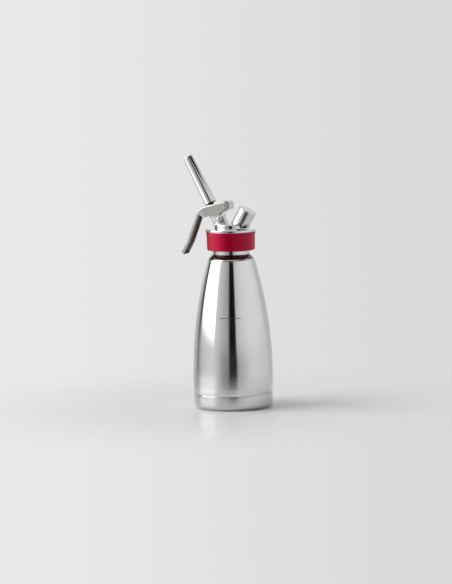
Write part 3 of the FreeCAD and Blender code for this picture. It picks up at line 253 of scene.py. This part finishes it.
# What is seen straight on behind the bottle is plain, a little lighter on the window's side.
backdrop_left = 0.81
backdrop_right = 0.70
backdrop_half = 0.05
seen_light = sky.nodes.new("ShaderNodeBackground")
cast_light = sky.nodes.new("ShaderNodeBackground")
either = sky.nodes.new("ShaderNodeMixShader")
path = sky.nodes.new("ShaderNodeLightPath")
sky_out = sky.nodes.new("ShaderNodeOutputWorld")
backdrop = laid_over(sky, measured(sky, sideways, -backdrop_half, backdrop_half), backdrop_left, backdrop_right)
sky.links.new(backdrop, seen_light.inputs["Color"])
sky.links.new(all_light.outputs["Vector"], cast_light.inputs["Color"])
sky.links.new(path.outputs["Is Camera Ray"], either.inputs["Fac"])
sky.links.new(cast_light.outputs["Background"], either.inputs[1])
sky.links.new(seen_light.outputs["Background"], either.inputs[2])
sky.links.new(either.outputs["Shader"], sky_out.inputs["Surface"])
bpy.context.scene.view_settings.view_transform = "Standard"

camera_data = bpy.data.cameras.new("camera")
camera_data.sensor_fit = "VERTICAL"
camera_data.sensor_height = camera_film
camera_data.sensor_width = camera_film
camera_data.lens = camera_lens
camera_data.clip_end = camera_sees
camera = bpy.data.objects.new("camera", camera_data)
bpy.context.scene.collection.objects.link(camera)
bpy.context.scene.camera = camera
stand = Vector((camera_reach * math.sin(camera_turn), -camera_reach * math.cos(camera_turn), camera_height))
level_right = Vector((math.cos(camera_turn), math.sin(camera_turn), 0))
aim = Vector((0, 0, aim_height)) - level_right * aim_left
ahead = (aim - stand).normalized()
right = ahead.cross(Vector((0, 0, 1))).normalized()
up = right.cross(ahead)
tilted_right = right * math.cos(camera_roll) - up * math.sin(camera_roll)
tilted_up = up * math.cos(camera_roll) + right * math.sin(camera_roll)
camera.matrix_world = Matrix.Translation(stand) @ Matrix((tilted_right, tilted_up, -ahead)).transposed().to_4x4()

# ---- Outer shell ----
# The bottle's outer wall: one drawn stainless sheet, spun in to a short slope and a smooth neck, then
# mirror-polished. Its foot is drawn in a little and pressed into the base cup.


def rounded(corners, steps=6):
    """Turn corners of (radius, height, rounding) into an outline with true round corners."""
    outline = []
    count = len(corners)
    for index, corner in enumerate(corners):
        here = Vector(corner[:2])
        if len(corner) < 3 or not corner[2]:
            outline.append(here)
            continue
        back = (Vector(corners[index - 1][:2]) - here).normalized()
        on = (Vector(corners[(index + 1) % count][:2]) - here).normalized()
        half = back.angle(on) / 2
        reach = corner[2] / math.tan(half)
        start = here + back * reach
        end = here + on * reach
        middle = here + (back + on).normalized() * (corner[2] / math.sin(half))
        sweep = math.pi - 2 * half
        spoke = start - middle
        side = 1 if spoke.cross(end - middle) > 0 else -1
        for step in range(steps + 1):
            angle = side * sweep * step / steps
            cosine, sine = math.cos(angle), math.sin(angle)
            outline.append(middle + Vector((spoke.x * cosine - spoke.y * sine, spoke.x * sine + spoke.y * cosine)))
    return outline


def turned(name, outline, body, lay=Matrix.Identity(4), steps=160, sharp=35.0):
    """A lathe-turned piece from a closed outline of (radius, height) in millimetres, laid on its axis."""
    turning = bmesh.new()
    rings = []
    for radius, height in outline:
        if radius < 1e-4:
            rings.append([turning.verts.new((0, 0, height * mm))])
        else:
            rings.append([turning.verts.new((radius * mm * math.cos(math.tau * step / steps),
                                             radius * mm * math.sin(math.tau * step / steps), height * mm))
                          for step in range(steps)])
    for first, second in zip(rings, rings[1:] + rings[:1]):
        if len(first) == len(second) == 1:
            continue
        for step in range(steps):
            after = (step + 1) % steps
            loop = [first[step % len(first)], first[after % len(first)],
                    second[after % len(second)], second[step % len(second)]]
            turning.faces.new(list(dict.fromkeys(loop)))
    bmesh.ops.recalc_face_normals(turning, faces=turning.faces)
    data = bpy.data.meshes.new(name)
    turning.to_mesh(data)
    turning.free()
    data.transform(lay)
    data.shade_smooth()
    data.set_sharp_from_angle(angle=math.radians(sharp))
    piece = bpy.data.objects.new(name, data)
    bpy.context.scene.collection.objects.link(piece)
    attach(piece, body)
    return piece


def dress(piece, finish):
    """Give a piece its finish as its only material."""
    piece.data.materials.clear()
    piece.data.materials.append(finish)


def dress_part(piece, finish, belongs):
    """Give a second finish to the faces that belong to one part of a piece."""
    piece.data.materials.append(finish)
    for face in piece.data.polygons:
        if belongs(face):
            face.material_index = 1


def polished_steel(name, tone, gloss, wave=0.0012):
    """Mirror-polished stainless: faint waviness, and hair-fine polishing lines that soften the shine unevenly."""
    finish, tree, shader = new_finish(name)
    shader.inputs["Metallic"].default_value = 1
    cloud = grain(tree, 24, detail=2.0)
    tree.links.new(blend_tone(tree, cloud, tone, tuple(0.965 * part for part in tone)), shader.inputs["Base Color"])
    tree.links.new(spread(tree, grain(tree, 60, (1, 1, 9)), gloss * 0.75, gloss * 1.35), shader.inputs["Roughness"])
    broad = relief(tree, shader, grain(tree, 38, detail=1.0), wave)
    relief(tree, shader, grain(tree, 900, (1, 1, 6)), 0.0006, under=broad)
    return finish


body_radius = 51.2
shell_wall = 1.0
foot_height = 7.0
foot_radius = 49.6
seam_height = 18.4
seam_gap = 0.5
bevel_radius = 50.8
bevel_height = 5.5
taper_start = 42.0
side_steps = 60
shoulder_height = 190.6
shoulder_radius = 30.0
shoulder_lead = 1.6
slope_foot = (29.8, 191.0, 4.4)
slope_head = (23.5, 197.2, 0.8)
neck_radius = 23.4
neck_inside = 22.6
neck_top = 203.6
slope_inside = [(22.6, 195.6), (26.4, 192.6), (28.6, 189.6)]
root_low = 194.3
root_high = 198.4
taper_radius = ((shoulder_height - taper_start) ** 2 / (body_radius - shoulder_radius)
                + body_radius - shoulder_radius) / 2
side_top = shoulder_height - shoulder_lead


def side_radius(height):
    """Outer radius of the bottle's long side."""
    rise = max(0.0, height - taper_start)
    return body_radius - taper_radius + math.sqrt(taper_radius ** 2 - rise ** 2)


side_heights = [taper_start + step * (side_top - taper_start) / side_steps for step in range(side_steps + 1)]
side = [(side_radius(height), height) for height in side_heights]
shoulder = rounded(
    [side[-1], slope_foot, slope_head, (neck_radius, neck_top, 0.2), (neck_inside, neck_top, 0.2)]
    + slope_inside, 9)[1:]
inner_side = [(radius - shell_wall, height) for radius, height in reversed(side)]
foot = rounded([
    (foot_radius - shell_wall, foot_height), (foot_radius, foot_height, 0.3),
    (foot_radius, seam_height + 0.9 * seam_gap, 0.2), (bevel_radius, seam_height + seam_gap, 0.35),
    (body_radius - 0.05, seam_height + bevel_height)], 5)
shell_outline = (
    foot + [(body_radius, 30.0)] + side + shoulder + inner_side
    + [(body_radius - shell_wall, 24.0), (foot_radius - shell_wall, seam_height)])
outer_shell = turned("outer_shell_polished", shell_outline, "bottle", steps=256)
bottle_mirror = polished_steel("bottle_mirror", (0.76, 0.752, 0.74), 0.085)
dress(outer_shell, bottle_mirror)

# The ring where the slope meets the neck is painted darker than the rest: painted shade and a painted reflection of
# the band's dark underside.
neck_root = polished_steel("neck_root", (0.12, 0.105, 0.09), 0.10)
dress_part(outer_shell, neck_root, lambda face: root_low * mm < face.center.z < root_high * mm)
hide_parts("outer_shell")

# ---- Fill line ----
# A plain fine line, etched dark into the polished side: the bottle is filled no higher than this.
# It is a strip of its own that lies on the curve of the side.

line_height = 119.0
line_half_length = 13.8
line_half_width = 0.36
line_lift = 0.02
line_turn = math.radians(-68.5)
line_steps = 32
line_strip = bmesh.new()
line_rows = []
for height in (line_height - line_half_width, line_height + line_half_width):
    radius = side_radius(height) + line_lift
    row = []
    for step in range(line_steps + 1):
        angle = line_turn + (2 * step / line_steps - 1) * line_half_length / radius
        row.append(line_strip.verts.new((radius * mm * math.cos(angle), radius * mm * math.sin(angle), height * mm)))
    line_rows.append(row)
for step in range(line_steps):
    line_strip.faces.new((line_rows[0][step], line_rows[0][step + 1], line_rows[1][step + 1], line_rows[1][step]))
line_data = bpy.data.meshes.new("fill_line")
line_strip.to_mesh(line_data)
line_strip.free()
fill_line = bpy.data.objects.new("fill_line", line_data)
bpy.context.scene.collection.objects.link(fill_line)
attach(fill_line, "bottle")
etched, tree, shader = new_finish("etched_line")
shader.inputs["Metallic"].default_value = 0.6
shader.inputs["Roughness"].default_value = 0.6
tree.links.new(blend_tone(tree, grain(tree, 2500), (0.05, 0.047, 0.045), (0.09, 0.085, 0.08)),
               shader.inputs["Base Color"])
dress(fill_line, etched)

# ---- Base cup ----
# A pressed stainless cup, satin-brushed round and round, pushed over the shell's foot and spot-welded.
# Its underside has one shallow pressed groove.

cup_radius = 50.6
cup_wall = 1.0
cup_round = 6.2
groove_inside = 34.4
groove_outside = 37.4
groove_depth = 0.5
groove_round = 0.3
cup_outline = rounded([
    (0, 0), (groove_inside, 0, groove_round), (groove_inside + groove_depth, groove_depth, groove_round),
    (groove_outside - groove_depth, groove_depth, groove_round), (groove_outside, 0, groove_round),
    (cup_radius, 0, cup_round), (cup_radius, seam_height, 0.3), (cup_radius - cup_wall, seam_height, 0.15),
    (cup_radius - cup_wall, cup_wall, cup_round - cup_wall), (0, cup_wall)], 10)
base_cup = turned("base_cup_satin", cup_outline, "bottle", steps=256)


def satin_steel(name, tone, gloss, stretch=(1, 1, 40), scale=60, turn=0.0, scratch=0.004):
    """Brushed stainless: fine lines drawn out one way break the shine."""
    finish, tree, shader = new_finish(name)
    shader.inputs["Metallic"].default_value = 1
    lines = grain(tree, scale, stretch, 5.0, turn)
    tree.links.new(blend_tone(tree, lines, tone, tuple(0.9 * part for part in tone)), shader.inputs["Base Color"])
    tree.links.new(spread(tree, lines, gloss * 0.8, gloss * 1.2), shader.inputs["Roughness"])
    relief(tree, shader, lines, scratch, 0.6)
    return finish


cup_satin = satin_steel("cup_satin", (0.72, 0.705, 0.69), 0.19)
dress(base_cup, cup_satin)
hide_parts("base_cup")


def finish_nodes(finish, *names):
    """Carry solids over as they are, with their own finish."""
    for name in names:
        dress(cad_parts[name], finish)


# ---- Inner flask and neck ----
# Plain annealed stainless, pickled dull: the flask, the plate that closes the vacuum with its solder bead,
# the getter disc under the flask, and the thick neck ring with its rolled thread.

neck_steel = satin_steel("neck_steel", (0.66, 0.65, 0.64), 0.16)
flask_steel = satin_steel("flask_steel", (0.58, 0.575, 0.565), 0.30)
finish_nodes(neck_steel, "neck_ring")
finish_nodes(flask_steel, "inner_flask", "vacuum_plate")
dull_metal, tree, shader = new_finish("dull_metal")
shader.inputs["Metallic"].default_value = 0.9
tree.links.new(blend_tone(tree, grain(tree, 700), (0.30, 0.30, 0.31), (0.42, 0.42, 0.43)), shader.inputs["Base Color"])
tree.links.new(spread(tree, grain(tree, 1200), 0.45, 0.65), shader.inputs["Roughness"])
relief(tree, shader, grain(tree, 1500), 0.02)
finish_nodes(dull_metal, "vacuum_seal_bead", "getter_disc")

# ---- Head ----
# One investment casting in stainless, machined inside, then polished by hand on soft wheels, so that every
# edge is a little round. The skirt screws onto the neck; tower, horn and charger boss stand on the dome.


def softened(name, node, body, sharp=30.0):
    """A copy of a solid whose curved faces run smoothly into each other."""
    piece = bpy.data.objects.new(name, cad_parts[node].data.copy())
    bpy.context.scene.collection.objects.link(piece)
    bm = bmesh.new()
    bm.from_mesh(piece.data)
    bmesh.ops.remove_doubles(bm, verts=bm.verts, dist=0.00001)
    bmesh.ops.recalc_face_normals(bm, faces=bm.faces)
    bm.to_mesh(piece.data)
    bm.free()
    piece.data.shade_smooth()
    piece.data.set_sharp_from_angle(angle=math.radians(sharp))
    flats = piece.modifiers.new("true_flats", "WEIGHTED_NORMAL")
    flats.mode = "FACE_AREA"
    flats.weight = 100
    flats.keep_sharp = True
    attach(piece, body)
    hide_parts(node)
    return piece


# The skirt's lower edge stays inside the silicone band.
skirt_end = 202.7
head = softened("head_polished", "head_casting", "head")
for vertex in head.data.vertices:
    vertex.co.z = max(vertex.co.z, skirt_end * mm)
head_mirror = polished_steel("head_mirror", (0.78, 0.775, 0.765), 0.045, 0.0015)
dress(head, head_mirror)

# The flat cheeks of tower and horn keep a satin skin.
tower_low = 236.0
tower_right = 4.0
cheek_facing = 0.45
head_satin = satin_steel("head_satin", (0.62, 0.61, 0.60), 0.24, stretch=(1, 1, 1), scale=300, scratch=0.0002)
dress_part(head, head_satin, lambda face: face.center.z > tower_low * mm and face.center.x < tower_right * mm
           and abs(face.normal.y) > cheek_facing)

# ---- Silicone band ----
# Moulded dark red silicone, stretched over the skirt and snug under the rim plate, with a flared lip on top.
# It keeps the hand off the cold steel and gives it grip.

band_inside = 27.6
band_foot = 202.5
band_foot_radius = 30.7
band_flare_start = (31.1, 221.2, 5.0)
band_lip_radius = 31.8
band_top = 225.7
band_outline = rounded([
    (band_inside, band_foot, 0.2), (band_foot_radius, band_foot, 1.5), band_flare_start,
    (band_lip_radius, band_top - 0.6, 0.5), (band_lip_radius, band_top, 0.25), (band_inside, band_top, 0.2)], 8)
band = turned("silicone_band", band_outline, "head", steps=200)
band_silicone, tree, shader = new_finish("band_silicone")
tree.links.new(blend_tone(tree, grain(tree, 45), (0.36, 0.0, 0.018), (0.335, 0.0, 0.016)),
               shader.inputs["Base Color"])
tree.links.new(spread(tree, grain(tree, 300), 0.30, 0.36), shader.inputs["Roughness"])
shader.inputs["IOR"].default_value = 2.35
shader.inputs["Specular Tint"].default_value = (1, 0.06, 0.19, 1)
relief(tree, shader, grain(tree, 2200), 0.008)
dress(band, band_silicone)
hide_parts("grip_band")

# ---- Lever and its pin ----
# Folded from one steel sheet, deburred and satin-finished outside, and painted darker inside the channel as painted
# shade. It swings on a turned pin that is pressed through the horn; the pin's riveted ends have a small hollow,
# painted near-black as painted shade.

# Inside the channel lie the cheeks' inner faces and those that look away from the lever's back.
cheek_inside = 7.3
cheek_upright = 0.9
back_way = Vector((-0.85, 0, 0.53))
back_edge = -0.05
pin_across = -4.2
pin_height = 259.9
pin_end = 9.36
pin_hollow_floor = 9.15
pin_hollow_foot = 0.7
pin_hollow_rim = 0.9
pin_hollow_radius = 1.1
pin_head_radius = 2.6
pin_shank_radius = 2.0
pin_shank_end = 8.92
lever_brushing = {"stretch": (1, 12, 1), "scale": 90, "turn": 0.26, "scratch": 0.0001}
lever_satin = satin_steel("lever_satin", (0.45, 0.435, 0.42), 0.28, **lever_brushing)
lever_inside = satin_steel("lever_inside", (0.20, 0.175, 0.165), 0.50, **lever_brushing)
lever = softened("lever_satin_sheet", "lever", "lever")
dress(lever, lever_satin)
# The channel's inner faces get a darker tone: painted shade.
dress_part(lever, lever_inside, lambda face: abs(face.center.y) < cheek_inside * mm and (
    abs(face.normal.y) > cheek_upright or face.normal.dot(back_way) < back_edge))
pin_lay = (Matrix.Translation((pin_across * mm, 0, pin_height * mm))
           @ Matrix.Rotation(math.radians(90), 4, "X"))
pin_outline = rounded([
    (0, -pin_hollow_floor), (pin_hollow_foot, -pin_hollow_floor, 0.2), (pin_hollow_rim, -pin_end, 0.2),
    (pin_head_radius, -pin_end, 0.3), (pin_head_radius, -pin_shank_end), (pin_shank_radius, -pin_shank_end),
    (pin_shank_radius, pin_shank_end), (pin_head_radius, pin_shank_end), (pin_head_radius, pin_end, 0.3),
    (pin_hollow_rim, pin_end, 0.2), (pin_hollow_foot, pin_hollow_floor, 0.2), (0, pin_hollow_floor)], 4)
lever_pin = turned("lever_pin_riveted", pin_outline, "head", pin_lay, 48)
pin_mirror = polished_steel("pin_mirror", (0.50, 0.49, 0.48), 0.16)
pin_hollow = polished_steel("pin_hollow", (0.06, 0.055, 0.05), 0.30)
dress(lever_pin, pin_mirror)
# The hollow at each riveted end is painted near-black: painted shade.
dress_part(lever_pin, pin_hollow, lambda face: math.hypot(
    face.center.x - pin_across * mm, face.center.z - pin_height * mm) < pin_hollow_radius * mm)
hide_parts("lever_pin")

# ---- Valve ----
# Turned stainless stem and collar, a spring clip, a coil spring of bright wire, and two black rubber seals.
# They stand on the valve's own axis, which leans towards the lever.

valve_lean = math.radians(-28)
valve_lay = Matrix.Translation((-10.1 * mm, 0, 229.3 * mm)) @ Matrix.Rotation(valve_lean, 4, "Y")
stem_dark_low = 30.0
stem_dark_high = 40.0
valve_steel = satin_steel("valve_steel", (0.68, 0.67, 0.655), 0.14, stretch=(1, 1, 30), scale=70)
spring_steel = polished_steel("spring_steel", (0.62, 0.615, 0.61), 0.18)
finish_nodes(valve_steel, "spring_collar")
finish_nodes(spring_steel, "valve_spring", "collar_clip", "check_spring")


def seal_rubber(name, tone):
    """Moulded seal rubber, matt, with a fine skin."""
    finish, tree, shader = new_finish(name)
    tree.links.new(blend_tone(tree, grain(tree, 1400), tone, tuple(1.3 * part for part in tone)),
                   shader.inputs["Base Color"])
    tree.links.new(spread(tree, grain(tree, 900), 0.45, 0.6), shader.inputs["Roughness"])
    relief(tree, shader, grain(tree, 3000), 0.01)
    return finish


black_seal = seal_rubber("black_seal", (0.02, 0.02, 0.02))
valve_stem = softened("valve_stem_turned", "valve_stem", "valve")
dress(valve_stem, valve_steel)

# Between tower and nozzle a band of the stem is painted black: painted shade in the gap under the nozzle.
dress_part(valve_stem, black_seal, lambda face: (
    stem_dark_low * mm < (valve_lay.inverted() @ face.center).z < stem_dark_high * mm))
finish_nodes(black_seal, "valve_seal", "stem_ring", "nozzle_seal", "charger_seal", "check_disc")
finish_nodes(seal_rubber("gasket_silicone", (0.62, 0.60, 0.56)), "head_gasket")

# ---- Nozzle ----
# A long stainless tube, tapered by drawing and mirror-polished, with both rims rounded. Its lower end is
# recessed and screws onto the valve stem.

nozzle_foot = 37.0
nozzle_foot_radius = 7.55
nozzle_mouth = 103.5
nozzle_mouth_radius = 6.2
nozzle_wall = 1.0
recess_floor = 39.6
thread_end = 49.5
thread_radius = 3.35
throat_radius = 2.9
throat_top = 52.5
funnel_top = (6.1, 57.5, 2.0)
seal_face_end = 39.8
seal_face_radius = 7.2
nozzle_outline = rounded([
    (nozzle_foot_radius - nozzle_wall, nozzle_foot, 0.25), (nozzle_foot_radius, nozzle_foot, 0.45),
    (nozzle_mouth_radius, nozzle_mouth, 0.5), (nozzle_mouth_radius - nozzle_wall, nozzle_mouth, 0.35), funnel_top,
    (throat_radius, throat_top, 0.5), (throat_radius, thread_end, 0.1), (thread_radius, thread_end),
    (thread_radius, recess_floor, 0.15), (nozzle_foot_radius - nozzle_wall, recess_floor, 0.3)], 8)
nozzle = turned("nozzle_polished", nozzle_outline, "nozzle", valve_lay, 128)
nozzle_mirror = polished_steel("nozzle_mirror", (0.78, 0.765, 0.745), 0.06)
dress(nozzle, nozzle_mirror)


def in_foot_recess(face):
    """Whether a face lies in the recess of the nozzle's foot, where the rubber sits; these faces are painted black as
    painted shade.
    """
    place = valve_lay.inverted() @ face.center
    return place.z < seal_face_end * mm and math.hypot(place.x, place.y) < seal_face_radius * mm


# The foot's recess is painted black: painted shade.
dress_part(nozzle, black_seal, in_foot_recess)
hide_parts("nozzle")

# ---- Charger neck ----
# A turned nipple with a rolled thread is screwed into the boss. In its socket stands the hollow piercing
# pin, through a black seal.

finish_nodes(valve_steel, "charger_nipple", "piercing_pin", "check_cage")

# ---- Protective cap ----
# Drawn from stainless sheet and polished, with a rounded top edge; a white liner keeps the nipple's mouth clean.
# It screws over the nipple, on the axis of the charger's neck.

charger_lean = math.radians(30.6)
charger_lay = Matrix.Translation((16.3 * mm, 0, 239.2 * mm)) @ Matrix.Rotation(charger_lean, 4, "Y")
cap_radius = 11.6
cap_inside = 9.8
cap_foot = 0.2
cap_top = 17.7
cap_ceiling = 15.5
cap_round = 1.6
cap_outline = rounded([
    (cap_inside, cap_foot, 0.15), (cap_radius, cap_foot, 0.3), (cap_radius, cap_top, cap_round), (0, cap_top),
    (0, cap_ceiling), (cap_inside, cap_ceiling)], 8)
cap = turned("charger_cap_polished", cap_outline, "charger_cap", charger_lay, 144)
cap_mirror = polished_steel("cap_mirror", (0.77, 0.76, 0.745), 0.06)
dress(cap, cap_mirror)
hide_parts("charger_cap")
liner_plastic, tree, shader = new_finish("liner_plastic")
tree.links.new(blend_tone(tree, grain(tree, 500), (0.80, 0.80, 0.77), (0.86, 0.86, 0.83)), shader.inputs["Base Color"])
tree.links.new(spread(tree, grain(tree, 800), 0.4, 0.5), shader.inputs["Roughness"])
finish_nodes(liner_plastic, "cap_liner")
